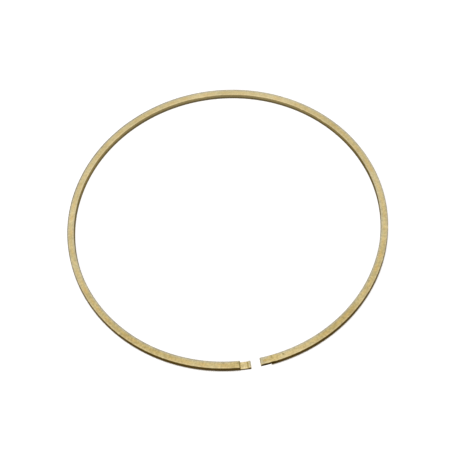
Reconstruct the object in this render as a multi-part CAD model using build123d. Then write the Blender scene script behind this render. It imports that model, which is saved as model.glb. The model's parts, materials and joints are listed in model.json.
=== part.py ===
from build123d import *
from math import degrees
import os

# A split metal seal ring of rectangular section. It lies in the groove of a turning shaft or sleeve and
# seals by its outer face and its two flat sides. The two ends overlap in a hook joint: a low hook on the
# left of the gap and a high hook on the right, seen from outside, which catch each other once the ring is
# closed. The ring lies here as it does when free, sprung open by its gap.
# Millimetres. The origin is on the ring's axis, in its lower side. +Z runs along the axis, and the middle
# of the gap is on -Y.

# The ring
outer_diameter = 160.0
radial_wall = 3.5
axial_height = 3.0
edge_break = 0.12  # chamfer along every outside edge

# The hook joint, with lengths taken along the middle of the wall
free_gap = 4.5  # tip to tip
hook_length = 5.0  # shoulder to tip
nub_length = 1.3  # the thick end of a hook, from its flank to its tip
nub_rise = 0.45  # how far the nub stands above the floor of its notch
hook_clearance = 0.05  # axial play left between the two hooks when they are caught
root_radius = 0.2  # inside corners of a notch

cutter_overshoot = 1.0  # how far a cutter reaches past the metal

outer_radius = outer_diameter / 2
bore_radius = outer_radius - radial_wall
middle_radius = outer_radius - radial_wall / 2

# Caught, the tongue of one hook, the rise of a nub and the other tongue lie one above the other.
tongue_thickness = (axial_height - nub_rise - hook_clearance) / 2
nub_thickness = tongue_thickness + nub_rise


def angle_from_gap(length):
    """The angle from the middle of the gap to a point this far along the middle of the wall."""
    return degrees(length / middle_radius)


tip_angle = angle_from_gap(free_gap / 2)
flank_angle = angle_from_gap(free_gap / 2 + nub_length)
shoulder_angle = angle_from_gap(free_gap / 2 + hook_length)


def sector(inner, outer, low, high, start, end):
    """A rectangular section turned about the axis, between two angles counted from the gap."""
    section = Plane.XZ * Pos((inner + outer) / 2, (low + high) / 2) * Rectangle(outer - inner, high - low)
    return Rot(0, 0, start - 90) * revolve(section, Axis.Z, end - start)


def open_ring():
    """The plain ring with its gap, every edge still sharp."""
    return sector(bore_radius, outer_radius, 0, axial_height, tip_angle, 360 - tip_angle)


def hook_cutter():
    """What is milled away from below to leave the high hook: a notch, and the space under its nub."""
    inner = bore_radius - cutter_overshoot
    outer = outer_radius + cutter_overshoot
    notch_floor = axial_height - tongue_thickness
    nub_face = axial_height - nub_thickness
    notch = sector(inner, outer, -cutter_overshoot, notch_floor, flank_angle, shoulder_angle)
    roots = notch.edges().filter_by(GeomType.LINE).group_by(Axis.Z)[-1]
    under_nub = sector(inner, outer, -cutter_overshoot, nub_face, 0, flank_angle)
    return fillet(roots, root_radius) + under_nub


def outside_edges(ring):
    """The rims of the outer face and the bore, and the radial edges where flat meets flat."""
    rims = ring.faces().filter_by(GeomType.CYLINDER).sort_by(SortBy.AREA)[-2:].edges()
    flats = ring.faces().filter_by(GeomType.PLANE)
    level = flats.filter_by(Axis.Z).edges()
    upright = flats.filter_by(lambda face: abs(face.normal_at().Z) < 0.5).edges()
    return rims + level.filter_by(lambda edge: edge in upright)


# Turned half round about the Y axis, the ring comes back to itself, so one cutter makes both ends.
turned_over = Pos(0, 0, axial_height) * Rot(0, 180, 0)

cutter = hook_cutter()
seal_ring = open_ring() - cutter - turned_over * cutter
seal_ring = chamfer(outside_edges(seal_ring), edge_break)

os.makedirs("parts", exist_ok=True)
export_step(seal_ring, "parts/seal_ring.step")
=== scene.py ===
import bmesh
import bpy
import json
import math
import numpy as np
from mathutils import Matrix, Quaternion, Vector


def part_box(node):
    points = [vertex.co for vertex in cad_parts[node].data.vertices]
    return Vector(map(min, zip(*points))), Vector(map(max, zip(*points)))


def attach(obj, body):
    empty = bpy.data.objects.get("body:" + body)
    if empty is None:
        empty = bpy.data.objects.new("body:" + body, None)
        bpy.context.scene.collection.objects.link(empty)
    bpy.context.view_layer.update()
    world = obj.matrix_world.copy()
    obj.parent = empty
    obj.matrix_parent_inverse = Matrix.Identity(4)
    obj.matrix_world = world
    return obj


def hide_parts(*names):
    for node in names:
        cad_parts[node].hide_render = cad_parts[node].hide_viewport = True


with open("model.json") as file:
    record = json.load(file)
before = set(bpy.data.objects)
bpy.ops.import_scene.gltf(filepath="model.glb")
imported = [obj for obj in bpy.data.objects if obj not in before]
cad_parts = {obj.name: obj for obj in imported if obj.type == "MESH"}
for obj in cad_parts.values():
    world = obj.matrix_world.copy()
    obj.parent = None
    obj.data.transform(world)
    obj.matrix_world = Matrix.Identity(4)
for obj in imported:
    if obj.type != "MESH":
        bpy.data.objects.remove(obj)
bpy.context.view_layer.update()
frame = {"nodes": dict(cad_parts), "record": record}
mm = 0.001
mountDims = {mount["name"]: mount["dims"] for mount in frame["record"]["mounts"]}
print("frame loaded:", ", ".join(frame["nodes"]))

# the ring in millimetres; the gap lies at -Y, and lengths along it are taken on the middle of its wall
ring = {
    "outerRadius": mountDims["sealing_face"]["r_mm"],
    "boreRadius": mountDims["bore"]["r_mm"],
    "height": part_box("seal_ring")[1].z / mm,
    "freeGap": 4.5,
    "hookLength": 5.0,
    "nubLength": 1.3,
    "nubRise": 0.45,
    "hookPlay": 0.05,
    "cornerRadius": 0.17,  # the hooks' outside corners, seen from the side
    "rootRadius": 0.2,
    "rimRadius": 0.12,  # the long edges
    "rimWander": 0.35,  # how much that rounding changes round the ring
    "rimWaves": (3, 7, 16, 37, 83, 171),  # in one turn
    "rimSeeds": (4, 9),  # for the inner and the outer edges
    "stations": 1400,  # along the plain part
    "hookFaces": {"tipCorner": 4, "corner": 6, "tip": 10, "nub": 8, "flank": 2, "notch": 16, "shoulder": 10},
    "rimRows": 5,
    "flatRows": (-1, -0.96, -0.5, 0, 0.5, 0.96, 1),  # from the bore outwards
    "wallRows": (0.03, 0.25, 0.5, 0.75, 0.97, 1),  # downwards
    "weld": 0.0001,
    "mapStrips": 6,  # the ring's length is cut into so many strips on its map
    "mapGap": 0.25,
}
ring["tip"] = ring["freeGap"] / 2
ring["shoulder"] = ring["tip"] + ring["hookLength"]
ring["tongue"] = (ring["height"] - ring["nubRise"] - ring["hookPlay"]) / 2
ring["middleRadius"] = (ring["outerRadius"] + ring["boreRadius"]) / 2
ring["halfWall"] = (ring["outerRadius"] - ring["boreRadius"]) / 2
ring["around"] = 2 * math.pi * ring["middleRadius"]


def straight(start, end, steps):
    # even points from start towards end, which is left out; the normal is on the right of the way
    start, end = np.array(start), np.array(end)
    way = (end - start) / np.linalg.norm(end - start)
    share = np.arange(steps)[:, None] / steps
    return start + (end - start) * share, np.tile([way[1], -way[0]], (steps, 1))


def bend(centre, radius, first, last, steps, hollow=False):
    # centre + radius * (cos, sin) from one angle towards another; the normal points out, or in if hollow
    angle = np.radians(first + (last - first) * np.arange(steps) / steps)
    out = np.stack([np.cos(angle), np.sin(angle)], 1)
    return np.array(centre) + radius * out, -out if hollow else out


def join(pieces):
    return [np.concatenate(arrays) for arrays in zip(*pieces)]


def hookRails():
    # the high hook in the unrolled plane (length from the gap's middle, height), as two rails that both
    # start in the middle of the tip's top corner: the stepped line below, and the top, with a point facing
    # each step
    high, corner, root = ring["height"], ring["cornerRadius"], ring["rootRadius"]
    tip, shoulder, faces = ring["tip"], ring["shoulder"], ring["hookFaces"]
    flank = tip + ring["nubLength"]
    ceiling = high - ring["tongue"]
    nubFace = ceiling - ring["nubRise"]
    lower = [
        bend((tip + corner, high - corner), corner, 135, 180, faces["tipCorner"]),
        straight((tip, high - corner), (tip, nubFace + corner), faces["tip"]),
        bend((tip + corner, nubFace + corner), corner, 180, 270, faces["corner"]),
        straight((tip + corner, nubFace), (flank - corner, nubFace), faces["nub"]),
        bend((flank - corner, nubFace + corner), corner, 270, 360, faces["corner"]),
        straight((flank, nubFace + corner), (flank, ceiling - root), faces["flank"]),
        bend((flank + root, ceiling - root), root, 180, 90, faces["corner"], hollow=True),
        straight((flank + root, ceiling), (shoulder - root, ceiling), faces["notch"]),
        bend((shoulder - root, ceiling - root), root, 90, 0, faces["corner"], hollow=True),
        straight((shoulder, ceiling - root), (shoulder, corner), faces["shoulder"]),
        bend((shoulder + corner, corner), corner, 180, 270, faces["corner"]),
    ]
    # for each stretch: how freshly milled it is, how much of an edge, and how much painted shade lies in it
    marks = np.array([
        (0, 1, 0), (0.7, 0, 0), (0.2, 1, 0), (0.2, 0, 0), (0.3, 0.2, 0.3), (0.8, 0, 0.9),
        (0.8, 0, 1), (1, 0, 0), (0.8, 0, 0.4), (0.7, 0, 0), (0.2, 0.6, 0.8),
    ])
    # where each stretch ends on the top; those of upright ones lie close together
    lag = ring["nubLength"] / 5
    stops = [tip + corner, tip + corner + lag, tip + corner + 1.3 * lag]
    stops += [flank - lag, flank - lag / 3, flank, flank + root, shoulder - root, shoulder]
    stops += [shoulder + 2.5 * lag, shoulder + 3 * lag]
    steps = [len(points) for points, normals in lower]
    top = [bend((tip + corner, high - corner), corner, 135, 90, steps[0])]
    for start, end, count in zip(stops, stops[1:], steps[1:]):
        points, normals = straight((start, high), (end, high), count)
        top.append((points, -normals))
    return join(lower), join(top), np.repeat(marks, steps, 0).T, shoulder + corner, stops[-1]


def turnOver(rail):
    # the same rail at the other end: half a turn about the line through the gap
    points, normals = rail
    return (np.array([ring["around"], ring["height"]]) - points)[::-1], -normals[::-1]


def fullRails():
    # right hook, plain ring and left hook; the left one is the right one turned over
    hookLow, hookTop, hookMarks, lowStart, topStart = hookRails()
    share = np.linspace(0, 1, ring["stations"] + 1)
    plainLength = ring["around"] - lowStart - topStart
    top = np.stack([topStart + share * plainLength, share * 0 + ring["height"]], 1)
    low = np.stack([lowStart + share * plainLength, share * 0], 1)
    up = np.tile([0.0, 1.0], (len(share), 1))
    upper = join([hookTop, (top, up), turnOver(hookLow)])
    lower = join([hookLow, (low, -up), turnOver(hookTop)])
    lowMarks = np.zeros((3, len(upper[0])))
    lowMarks[:, :hookMarks.shape[1]] = hookMarks
    lowMarks[1, -ring["hookFaces"]["tipCorner"]:] = 1
    lowMarks[2] = np.convolve(lowMarks[2], np.array([1, 2, 3, 2, 1]) / 9, "same")
    return upper, lower, lowMarks[:, ::-1], lowMarks


def sectionRows():
    # once round the section, from the top side's inner edge: the share of the lower rail in each row, its
    # side of the wall from -1 to 1, and how far the rim's arc has turned
    flat, down = np.array(ring["flatRows"]), np.array(ring["wallRows"])
    rising = np.linspace(0, math.pi / 2, ring["rimRows"])[1:]
    falling = rising[-2::-1]
    parts = [(0, flat, 0), (0, 1, rising), (down, 1, math.pi / 2), (1, 1, falling)]
    parts += [(1, -flat, 0), (1, -1, rising), (1 - down, -1, math.pi / 2), (0, -1, falling)]
    return np.concatenate([np.array(np.broadcast_arrays(*part), float) for part in parts], 1)


def wander(along, seed):
    # an uneven wave round the ring, between -1 and 1: a sum of sines that get lower as they get shorter
    draw = np.random.default_rng(seed)
    waves = np.array(ring["rimWaves"])
    shift = draw.uniform(0, 2 * math.pi, len(waves))
    height = 1 / np.sqrt(waves)
    return (height * np.sin(waves * along[:, None] / ring["middleRadius"] + shift)).sum(1) / height.sum()


def runLength(rail):
    # the way from the rail's start to each of its points
    return np.concatenate([[0], np.linalg.norm(np.diff(rail, axis=0), axis=1).cumsum()])


def ringSurface():
    # the section's rows carried along both rails: a point is mixed from the two rails, drawn in from them by
    # rim * (1 - cos turn), and set at middle + side * (halfWall - rim * (1 - sin turn)) from the axis
    (upper, upperNormal), (lower, lowerNormal), upperMarks, lowerMarks = fullRails()
    mix, side, turn = sectionRows()
    inner, outer = [1 + ring["rimWander"] * wander(upper[:, 0], seed)[:, None] for seed in ring["rimSeeds"]]
    rim = ring["rimRadius"] * np.where(side < 0, inner, outer)
    inset = (rim * (1 - np.cos(turn)))[..., None]
    fromUpper = upper[:, None] - upperNormal[:, None] * inset
    fromLower = lower[:, None] - lowerNormal[:, None] * inset
    place = fromUpper * (1 - mix)[:, None] + fromLower * mix[:, None]
    along, height = place[..., 0], place[..., 1]
    radius = ring["middleRadius"] + side * (ring["halfWall"] - rim * (1 - np.sin(turn)))
    angle = along / ring["middleRadius"]
    points = np.stack([radius * np.sin(angle), -radius * np.cos(angle), height], -1) * mm

    onBand = np.where(mix < 0.5, runLength(upper)[:, None], runLength(lower)[:, None])
    across = side * (ring["halfWall"] - rim) + np.sign(side) * rim * turn
    wall = np.broadcast_to(turn / (math.pi / 2), along.shape)
    milled, edge, tarnish = upperMarks[..., None] * (1 - mix) + lowerMarks[..., None] * mix
    edge = np.maximum(edge * (1 - wall), np.sin(2 * turn) * (1 - 0.8 * milled))
    milled, tarnish = milled * (1 - wall), tarnish * (1 - wall)
    marks = {"wall": wall, "milled": milled, "edge": edge, "tarnish": tarnish}
    return points, np.stack([along, radius, height], -1), marks, (along, height), (onBand, across)


def layOut(faceStation, faceRow, corners, onWall, onBand):
    # the map: the ring's four sides, each cut into strips of equal length, stacked in one square
    mix, side, turn = sectionRows()
    nextRow = np.roll(np.arange(len(mix)), -1)
    isWall = (turn + turn[nextRow] > math.pi * 0.999)[faceRow]
    isLow = np.where(isWall, side[faceRow] < 0, (mix + mix[nextRow])[faceRow] > 1)
    station, row = corners
    flat = [np.where(isWall[:, None], w[station, row], b[station, row]) for w, b in zip(onWall, onBand)]
    strip = faceStation * ring["mapStrips"] // (faceStation.max() + 1)
    block = strip * 4 + isWall * 2 + isLow
    base, widest = ring["mapGap"], 0.0
    for one in np.unique(block):
        mine = block == one
        flat[0][mine] += ring["mapGap"] - flat[0][mine].min()
        flat[1][mine] += base - flat[1][mine].min()
        base = flat[1][mine].max() + ring["mapGap"]
        widest = max(widest, flat[0][mine].max() + ring["mapGap"])
    return np.stack(flat, -1) / max(base, widest)


def makeRing():
    points, sweep, marks, onWall, onBand = ringSurface()
    stations, rows = marks["wall"].shape
    faceStation, faceRow = [index.ravel() for index in np.mgrid[0:stations - 1, 0:rows]]
    station = faceStation[:, None] + np.array([0, 0, 1, 1])
    row = (faceRow[:, None] + np.array([0, 1, 1, 0])) % rows
    mesh = bpy.data.meshes.new("sealRing")
    mesh.from_pydata(points.reshape(-1, 3).tolist(), [], (station * rows + row).tolist())
    mesh.uv_layers.new(name="OFBake")
    mesh.uv_layers["OFBake"].uv.foreach_set(
        "vector", layOut(faceStation, faceRow, (station, row), onWall, onBand).ravel()
    )
    mesh.attributes.new("sweep", "FLOAT_VECTOR", "POINT").data.foreach_set("vector", sweep.ravel())
    for name, values in marks.items():
        mesh.attributes.new(name, "FLOAT", "POINT").data.foreach_set("value", values.ravel())
    # at the two tips the rows meet in one line, where their points become one
    loose = bmesh.new()
    loose.from_mesh(mesh)
    bmesh.ops.remove_doubles(loose, verts=loose.verts, dist=ring["weld"] * mm)
    bmesh.ops.recalc_face_normals(loose, faces=loose.faces)
    loose.to_mesh(mesh)
    loose.free()
    mesh.shade_smooth()
    piece = bpy.data.objects.new("sealRing", mesh)
    bpy.context.collection.objects.link(piece)
    print("ring made:", len(mesh.polygons), "faces")
    return piece


class Wire:
    # one socket's value; plain maths on it adds Math nodes

    def __init__(self, board, socket):
        self.board = board
        self.socket = socket

    def maths(self, operation, *values):
        return self.board.node("ShaderNodeMath", {"operation": operation}, dict(enumerate(values)))

    def __add__(self, other):
        return self.maths("ADD", self, other)

    def __radd__(self, other):
        return self.maths("ADD", other, self)

    def __sub__(self, other):
        return self.maths("SUBTRACT", self, other)

    def __rsub__(self, other):
        return self.maths("SUBTRACT", other, self)

    def __mul__(self, other):
        return self.maths("MULTIPLY", self, other)

    def __rmul__(self, other):
        return self.maths("MULTIPLY", other, self)

    def __truediv__(self, other):
        return self.maths("DIVIDE", self, other)

    def __rtruediv__(self, other):
        return self.maths("DIVIDE", other, self)

    def __abs__(self):
        return self.maths("ABSOLUTE", self)

    def cosine(self):
        return self.maths("COSINE", self)

    def larger(self, other):
        return self.maths("MAXIMUM", self, other)


class Board:
    # a node tree, emptied

    def __init__(self, owner):
        owner.use_nodes = True
        self.tree = owner.node_tree
        self.tree.nodes.clear()

    def node(self, kind, settings=None, inputs=None, output=0):
        # settings first, then values or links, then the wanted output as a wire
        made = self.tree.nodes.new(kind)
        for name, value in (settings or {}).items():
            setattr(made, name, value)
        for name, value in (inputs or {}).items():
            if isinstance(value, Wire):
                self.tree.links.new(value.socket, made.inputs[name])
            else:
                made.inputs[name].default_value = value
        return Wire(self, made.outputs[output]) if made.outputs else None

    def attribute(self, name, output="Fac"):
        return self.node("ShaderNodeAttribute", {"attribute_name": name}, output=output)

    def split(self, vector):
        made = self.node("ShaderNodeSeparateXYZ", {}, {0: vector}).socket.node
        return [Wire(self, socket) for socket in made.outputs]

    def grey(self, value):
        return self.node("ShaderNodeCombineXYZ", {}, {0: value, 1: value, 2: value})

    def noise(self, place, detail, roughness):
        # about 0 to 1, with one wave to a unit
        sockets = {"Vector": place, "Scale": 1.0, "Detail": detail, "Roughness": roughness}
        return self.node("ShaderNodeTexNoise", {}, sockets)

    def stretch(self, place, factors, shift=(0.0, 0.0, 0.0)):
        sockets = {0: place, 1: factors, 2: shift}
        return self.node("ShaderNodeVectorMath", {"operation": "MULTIPLY_ADD"}, sockets)

    def step(self, value, low, high):
        # 0 below low, 1 above high, smooth between; low may be the larger
        sockets = {"Value": value, "From Min": low, "From Max": high}
        return self.node("ShaderNodeMapRange", {"interpolation_type": "SMOOTHSTEP"}, sockets)

    def blend(self, share, first, second, way="MIX"):
        settings = {"data_type": "RGBA", "blend_type": way, "clamp_factor": True}
        return self.node("ShaderNodeMix", settings, {0: share, 6: first, 7: second}, output=2)


def colour(red, green, blue):
    # from screen values, 0 to 255, to the linear ones that sockets take
    screen = np.array([red, green, blue]) / 255
    linear = np.where(screen > 0.04045, ((screen + 0.055) / 1.055) ** 2.4, screen / 12.92)
    return (*linear.tolist(), 1.0)


# lengths in millimetres, and directions in degrees round the ring from the gap towards +X
brass = {
    "pale": colour(208, 191, 145),  # the flat sides lie between pale and golden
    "golden": colour(199, 177, 115),
    "rosy": colour(210, 178, 116),  # in patches, a little redder or greener
    "olive": colour(189, 180, 134),
    "flatEdge": colour(190, 181, 150),  # greyer towards their edges
    # painted shade: the outer wall and the bore darker than the flat sides, the bore darkest at the bottom
    "outerWall": colour(73, 60, 40),
    "hookWall": colour(30, 23, 13),  # the high hook's outer face, in painted shade darker than the outer wall
    "boreLow": colour(84, 76, 53),
    "boreHigh": colour(143, 129, 90),
    "boreSide": colour(56, 55, 45),  # painted shade on the bore at the ring's left and right
    "milled": colour(214, 194, 141),  # fresh cuts in the hooks
    # a painted highlight along the outer rim near the gap and the inner rim far from it, and on the low
    # hook's notch floor
    "bright": colour(236, 216, 166),
    "tarnish": colour(176, 158, 92),  # painted shade in the hooks' inside corners and along the shoulder
    "edge": colour(80, 67, 34),  # painted shade along every outside edge, with a few places worn bright
    "rubbed": colour(212, 194, 142),
    # dark: real stains, and the painted shade beside the step at the left shoulder
    "stain": colour(128, 116, 66),
    "blotch": colour(186, 158, 86),
    # how much of a colour shows at most
    "shares": {"rosy": 0.55, "olive": 0.5, "bright": 0.35, "boreSide": 0.65, "tarnish": 0.8, "edge": 0.9},
    # the mottling's sizes, each with its detail, roughness and shift
    "clouds": (34.0, 2.0, 0.5, (6.2, 15.1, 0.0)),
    "drift": (5.5, 2.0, 0.5, (5.3, 1.9, 0.0)),
    "blush": (4.0, 4.0, 0.6, (9.1, 4.4, 2.0)),
    "patches": (2.2, 5.0, 0.6, (0.0, 0.0, 0.0)),
    "mottle": (1.1, 2.0, 0.6, (3.1, 7.7, 5.0)),
    "pits": (0.9, 4.0, 0.7, (0.0, 0.0, 0.0)),
    "speckle": (0.3, 2.0, 0.6, (0.0, 0.0, 0.0)),
    # how bright the metal is, and how much each pattern changes that
    "brightness": 1.03,
    # the four paler stretches and the paling away from the gap are painted light
    "swings": {
        "fourfold": 0.045, "gapward": 0.05, "clouds": 0.4, "drift": 0.15, "patches": 0.22,
        "mottle": 0.72, "mottleAtGap": 0.25, "speckle": 0.55, "scratches": 0.08, "pits": 0.09,
        "grain": 0.35, "wallGrain": 0.6,
    },
    "goldenSwings": (4.4, 0.9),  # with the slow changes of brightness, and with the blush
    "fourfoldTurn": -29.4,  # the direction of one of the four paler stretches of the painted reflection, times four
    "leftSide": 255,
    "rightFront": 60,
    "edgeBand": 1.68,  # how far the greyer edges reach
    "lineSize": (6.0, 0.06, 0.06),  # lines along the ring, from turning its walls and lapping its sides
    "cutSize": (0.1, 2.5, 0.1),  # cutter marks across the hooks
    "lineDetail": 3.0,
    "lineRoughness": 0.65,
    "scratchSize": (7.0, 0.07, 7.0),
    "scratchTurns": (25, 96, 148),
    "roughness": 0.4,
    "specularTint": (0.72, 0.6, 0.38, 1),
    "bump": 0.01,
    "bumpStrength": 0.5,
}
# tone patches and real stains, with painted shade and a painted highlight at the low hook
stainsAndPaintedLight = [
    {"along": 8.8, "radius": 78.3, "length": 3.0, "width": 2.0, "colour": "golden", "share": 0.7},
    {"along": -9.8, "radius": 78.3, "length": 2.6, "width": 2.0, "colour": "golden", "share": 0.6},
    {"along": 7.9, "radius": 77.4, "length": 0.45, "width": 1.0, "colour": "stain", "share": 0.5},
    {"along": 13.5, "radius": 77.9, "length": 0.5, "width": 0.45, "colour": "stain", "share": 0.7},
    {"along": -8.4, "radius": 77.6, "length": 0.6, "width": 0.6, "colour": "stain", "share": 0.5},
    {"along": 3.4, "radius": 78.2, "length": 2.4, "width": 1.8, "colour": "flatEdge", "share": 0.6},
    {"along": 4.6, "radius": 78.4, "length": 1.4, "width": 0.7, "colour": "blotch", "share": 0.8},
    # painted shade beside the step at the left shoulder
    {"along": -7.62, "radius": 78.2, "length": 0.26, "width": 3.0, "colour": "stain", "share": 0.8},
    # painted shade on the notch floor at the root of the low nub's flank
    {"along": -3.95, "radius": 78.2, "length": 0.26, "width": 2.6, "colour": "tarnish", "share": 0.8},
    # a painted highlight along the outer side of the low hook's notch floor
    {"along": -5.3, "radius": 79.5, "length": 1.6, "width": 0.5, "colour": "bright", "share": 0.5},
]


def mottling(board, place, name):
    size, detail, roughness, shift = brass[name]
    return board.noise(board.stretch(place, [1 / (size * mm)] * 3, shift), detail, roughness)


def finish(board, sweep, name):
    # fine lines in the ring's own coordinates: length along it, radius and height
    fineness = [1 / size for size in brass[name]]
    return board.noise(board.stretch(sweep, fineness), brass["lineDetail"], brass["lineRoughness"])


def scratched(board, place, turn):
    # thin straight scratches that all run one way
    size = [length * mm for length in brass["scratchSize"]]
    sockets = {"Vector": place, "Rotation": (0, 0, math.radians(turn)), "Scale": size}
    turned = board.node("ShaderNodeMapping", {"vector_type": "TEXTURE"}, sockets)
    return board.step(board.noise(turned, 1.0, 0.5), 0.66, 0.78)


def nearness(along, direction, times=1):
    # 1 at one direction round the ring and -1 opposite it, or more often if it repeats
    return (along * (times / ring["middleRadius"]) - math.radians(direction)).cosine()


def spotShare(board, along, radius, waver, stain):
    # a soft oval round one place on the flats, its rim made uneven by the noise
    nearest = abs(along - stain["along"] % ring["around"]) / stain["length"]
    across = abs(radius - stain["radius"]) / stain["width"]
    distance = nearest * nearest + across * across + (waver - 0.5) * 5
    return board.step(distance, 1.5, 0.3) * stain["share"]


def makeBrass():
    material = bpy.data.materials.new("sealRingBrass")
    board = Board(material)
    place = board.node("ShaderNodeTexCoord", output="Object")
    sweep = board.attribute("sweep", "Vector")
    along, radius, height = board.split(sweep)
    side = board.step(board.attribute("wall"), 0.3, 0.9)
    edge = board.step(board.attribute("edge"), 0.2, 0.8)
    milled = board.step(board.attribute("milled"), 0.0, 1.0)
    shares, swings = brass["shares"], brass["swings"]

    clouds = mottling(board, place, "clouds")
    drift = mottling(board, place, "drift")
    blush = mottling(board, place, "blush")
    patches = mottling(board, place, "patches")
    mottle = mottling(board, place, "mottle")
    speckle = mottling(board, place, "speckle")
    pits = board.step(mottling(board, place, "pits"), 0.57, 0.68)
    lines = finish(board, sweep, "lineSize")
    grain = lines + milled * (finish(board, sweep, "cutSize") - lines)
    scratches = [scratched(board, place, turn) for turn in brass["scratchTurns"]]
    scratches = sum(scratches[1:], scratches[0]) * (1 - side) * (1 - milled)

    # a painted reflection of four paler and four more golden stretches round the ring, and painted light
    # paler away from the gap
    fourfold = nearness(along, brass["fourfoldTurn"], 4)
    gapward = nearness(along, 0)
    slow = fourfold * swings["fourfold"] - gapward * swings["gapward"]
    slow = slow + (clouds - 0.5) * swings["clouds"] + (drift - 0.5) * swings["drift"]
    withSlow, withBlush = brass["goldenSwings"]
    golden = 0.5 - slow * withSlow + (blush - 0.5) * withBlush
    tone = brass["brightness"] + slow + (patches - 0.5) * swings["patches"]
    tone = tone + (mottle - 0.5) * (gapward * swings["mottleAtGap"] + swings["mottle"])
    tone = tone + (speckle - 0.5) * swings["speckle"]
    tone = tone + scratches * swings["scratches"] - pits * swings["pits"]
    tone = tone + (grain - 0.5) * (swings["grain"] + side * swings["wallGrain"])
    flat = board.blend(golden, brass["pale"], brass["golden"])
    flat = board.blend(board.step(blush, 0.5, 0.7) * shares["rosy"], flat, brass["rosy"])
    flat = board.blend(board.step(blush, 0.48, 0.3) * shares["olive"], flat, brass["olive"])

    # painted shade on the edges, but for the outer one near the gap and the inner one far from it, which get
    # a painted highlight
    outward = (radius - ring["middleRadius"]) * (1 / ring["halfWall"])
    facing = outward * gapward
    edgeInShade = board.step(facing, 0.9, 0.2)
    fromRim = (1 - abs(outward)) * ring["halfWall"]
    fromTip = ring["around"] / 2 - abs(along - ring["around"] / 2) - ring["tip"]
    edgeBand = brass["edgeBand"]
    rimBand = board.step(fromRim, (1 - gapward * 0.13) * edgeBand, 0.15 * edgeBand)
    tipBand = board.step(fromTip, 0.5 * edgeBand, 0.15 * edgeBand)
    flat = board.blend(tipBand.larger(rimBand * board.step(facing, 1.0, -0.5)), flat, brass["flatEdge"])
    # a painted highlight along the outer rim near the gap and the inner rim far from it
    glint = board.step(fromRim, 1.0, 0.4) * board.step(facing, 0.0, 0.7)
    flat = board.blend(glint * shares["bright"], flat, brass["bright"])

    # a line of painted shade along each edge, widest on the outer one at the left and the right front and
    # near the high hook
    leftward = nearness(along, brass["leftSide"])
    rightFront = (nearness(along, brass["rightFront"]) - 0.8).larger(0.0)
    wider = (leftward.larger(0.0) * (1 - gapward) * 2.2 + rightFront * 6) * outward.larger(0.0)
    lineReach = (wider + leftward * 0.4 + 2.0) * ring["rimRadius"]
    nearHook = board.step(along, ring["shoulder"] + 4, ring["shoulder"])
    rimLine = board.step(fromRim, lineReach, ring["rimRadius"])
    rimLine = rimLine * (edgeInShade * 0.6 + nearHook * outward * 0.5 + 0.4)
    tipLine = board.step(fromTip, 2.2 * ring["rimRadius"], ring["rimRadius"])
    edge = edge.larger(tipLine.larger(rimLine) * (1 - side) * board.step(milled, 0.5, 0.1))

    # painted shade on the walls: the bore darker towards the bottom and at the ring's left and right, the
    # outer wall dark and the high hook's outer face darker still
    bore = board.blend(board.step(height, 0.2, 2.8), brass["boreLow"], brass["boreHigh"])
    sideways = board.step(abs(gapward), 0.6, 0.1)
    bore = board.blend(sideways * shares["boreSide"], bore, brass["boreSide"])
    outerWall = board.blend(nearHook, brass["outerWall"], brass["hookWall"])
    walls = board.blend(board.step(outward, -0.3, 0.3), bore, outerWall)
    flat = board.blend(milled, flat, brass["milled"])
    waver = patches * 0.5 + speckle * 0.5
    for stain in stainsAndPaintedLight:
        flat = board.blend(spotShare(board, along, radius, waver, stain), flat, brass[stain["colour"]])
    # painted shade in the hooks' inside corners and along the shoulder
    flat = board.blend(board.attribute("tarnish") * shares["tarnish"], flat, brass["tarnish"])
    surface = board.blend(side, flat, walls)
    worn = board.step(drift * 0.4 + patches * 0.6, 0.52, 0.68) * (1 - (leftward - 0.7).larger(0.0) * 3)
    # painted shade along the edges, with a few places worn bright
    surface = board.blend(edge * shares["edge"], surface, board.blend(worn, brass["edge"], brass["rubbed"]))
    surface = board.blend(1.0, surface, board.grey(tone), "MULTIPLY")

    sockets = {
        "Strength": brass["bumpStrength"],
        "Distance": brass["bump"] * mm,
        "Height": grain + speckle * 0.4 - scratches * 0.8,
    }
    normal = board.node("ShaderNodeBump", {}, sockets)
    sockets = {
        "Base Color": surface,
        "Metallic": 1.0,
        "Roughness": brass["roughness"] + (patches - 0.5) * 0.2 + side * 0.08 - milled * 0.06,
        "Specular Tint": brass["specularTint"],
        "Normal": normal,
    }
    shader = board.node("ShaderNodeBsdfPrincipled", {}, sockets)
    board.node("ShaderNodeOutputMaterial", {}, {"Surface": shader})
    print("brass ready")
    return material


piece = makeRing()
piece.data.materials.append(makeBrass())
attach(piece, "root")
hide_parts("seal_ring")

# lengths in metres, and directions in degrees; azimuths are counted from -Y towards +X
studio = {
    "white": (1, 1, 1, 1),
    "floorSize": 6.0,
    "floorDrop": 0.00002,
    "floorColour": (0.88, 0.9, 0.97, 1),
    "floorBounce": (0.8, 0.8, 0.8, 1),  # its colour for the light that it sends back
    "floorGlow": (0.23, 0.2, 0.14, 1),  # what camera and metal see of the floor in full shade
    "whiteBeyond": (0.09, 0.6),  # from the ring's middle, where the lamps reach less
    "belowHook": (0.0023, 0.0026, 0.0071, 0.0074),  # the floor below the high hook, along x
    "shadeFrom": (0.0774, 0.0791),  # between these distances a deep shadow is painted on it
    "shadeTo": (0.0795, 0.0798),
    "whiteTo": (0.083, 0.081),  # and in front of the painted shadow it is painted white up to here
    # the painted shadow's colour
    "shadeColour": (0.03, 0.024, 0.016, 1),
    "skyLight": 0.1,
    "softbox": {"azimuth": -40, "elevation": 60, "distance": 1.6, "size": 2.0, "power": 3.8, "seen": True},
    # it shades the floor, and leaves no glare on the metal
    "overhead": {"azimuth": -165, "elevation": 87, "distance": 1.6, "size": 0.2, "power": 20, "seen": False},
}


def seenDirectly(board):
    # 1 for camera, glossy and transmitted rays, which see the white background
    rays = board.node("ShaderNodeLightPath").socket.node.outputs
    kinds = ("Camera", "Glossy", "Transmission")
    camera, glossy, passing = [Wire(board, rays[f"Is {kind} Ray"]) for kind in kinds]
    return camera.larger(glossy).larger(passing)


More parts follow.
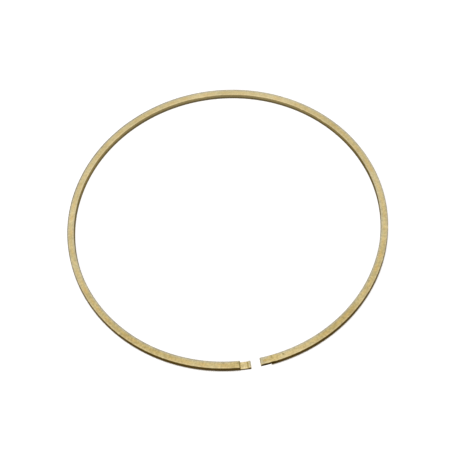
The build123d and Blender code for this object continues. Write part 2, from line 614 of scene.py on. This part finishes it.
def makeFloor():
    half, low = studio["floorSize"] / 2, -studio["floorDrop"]
    mesh = bpy.data.meshes.new("floor")
    corners = [(-half, -half, low), (half, -half, low), (half, half, low), (-half, half, low)]
    mesh.from_pydata(corners, [], [(0, 1, 2, 3)])
    floor = bpy.data.objects.new("floor", mesh)
    bpy.context.collection.objects.link(floor)
    material = bpy.data.materials.new("paleFloor")
    board = Board(material)
    place = board.node("ShaderNodeTexCoord", output="Object")
    away = board.node("ShaderNodeVectorMath", {"operation": "LENGTH"}, {0: place}, output="Value")
    glow = board.blend(board.step(away, *studio["whiteBeyond"]), studio["floorGlow"], studio["white"])
    # below the high hook, a painted strip of deep shadow with painted white in front of it
    x, y = board.split(place)[:2]
    start, full, fading, end = studio["belowHook"]
    below = board.step(x, start, full) * board.step(x, end, fading) * board.step(y, 0.0, -0.01)
    inFront = board.step(away, *studio["shadeTo"])
    shade = below * board.step(away, *studio["shadeFrom"]) * (1 - inFront)
    glow = board.blend(shade, glow, (0, 0, 0, 1))
    glow = board.blend(below * inFront * board.step(away, *studio["whiteTo"]), glow, studio["white"])
    tint = board.blend(shade, studio["floorColour"], studio["shadeColour"])
    sockets = {"Base Color": tint, "Roughness": 1.0, "Specular IOR Level": 0.0}
    sockets.update({"Emission Color": glow, "Emission Strength": 1.0})
    seen = board.node("ShaderNodeBsdfPrincipled", {}, sockets)
    bounce = board.node("ShaderNodeBsdfDiffuse", {}, {"Color": studio["floorBounce"]})
    both = board.node("ShaderNodeMixShader", {}, {0: seenDirectly(board), 1: bounce, 2: seen})
    board.node("ShaderNodeOutputMaterial", {}, {"Surface": both})
    mesh.materials.append(material)


def makeSky():
    world = bpy.data.worlds.new("studioSky")
    bpy.context.scene.world = world
    board = Board(world)
    dim, white = [
        board.node("ShaderNodeBackground", {}, {"Color": studio["white"], "Strength": strength})
        for strength in (studio["skyLight"], 1.0)
    ]
    both = board.node("ShaderNodeMixShader", {}, {0: seenDirectly(board), 1: dim, 2: white})
    board.node("ShaderNodeOutputWorld", {}, {"Surface": both})


def towards(azimuth, elevation):
    turn, rise = math.radians(azimuth), math.radians(elevation)
    return Vector((math.sin(turn) * math.cos(rise), -math.cos(turn) * math.cos(rise), math.sin(rise)))


def makeLamp(name):
    wanted = studio[name]
    way = towards(wanted["azimuth"], wanted["elevation"])
    light = bpy.data.lights.new(name, "AREA")
    light.size = wanted["size"]
    light.energy = wanted["power"]
    lamp = bpy.data.objects.new(name, light)
    lamp.location = way * wanted["distance"]
    lamp.rotation_mode = "QUATERNION"
    lamp.rotation_quaternion = (-way).to_track_quat("-Z", "Y")
    lamp.visible_glossy = wanted["seen"]
    bpy.context.collection.objects.link(lamp)


# the photograph's view: a long lens high in front, rolled a little
shot = {
    "azimuth": -4.35,
    "elevation": 60.07,
    "roll": 6.4,
    "distance": 0.5647,
    "target": (-0.00118, -0.00134, 0.0),
    "lens": 90.19,
    "sensor": 36,
    "nearest": 0.01,
}


def makeCamera():
    back = towards(shot["azimuth"], shot["elevation"])
    lens = bpy.data.cameras.new("photoCamera")
    lens.lens = shot["lens"]
    lens.sensor_width = shot["sensor"]
    lens.clip_start = shot["nearest"]
    camera = bpy.data.objects.new("photoCamera", lens)
    camera.location = Vector(shot["target"]) + back * shot["distance"]
    camera.rotation_mode = "QUATERNION"
    upright = (-back).to_track_quat("-Z", "Y")
    camera.rotation_quaternion = upright @ Quaternion((0, 0, 1), -math.radians(shot["roll"]))
    bpy.context.collection.objects.link(camera)
    bpy.context.scene.camera = camera


makeFloor()
makeSky()
makeLamp("softbox")
makeLamp("overhead")
makeCamera()
bpy.context.scene.view_settings.view_transform = "Standard"
print("studio ready")
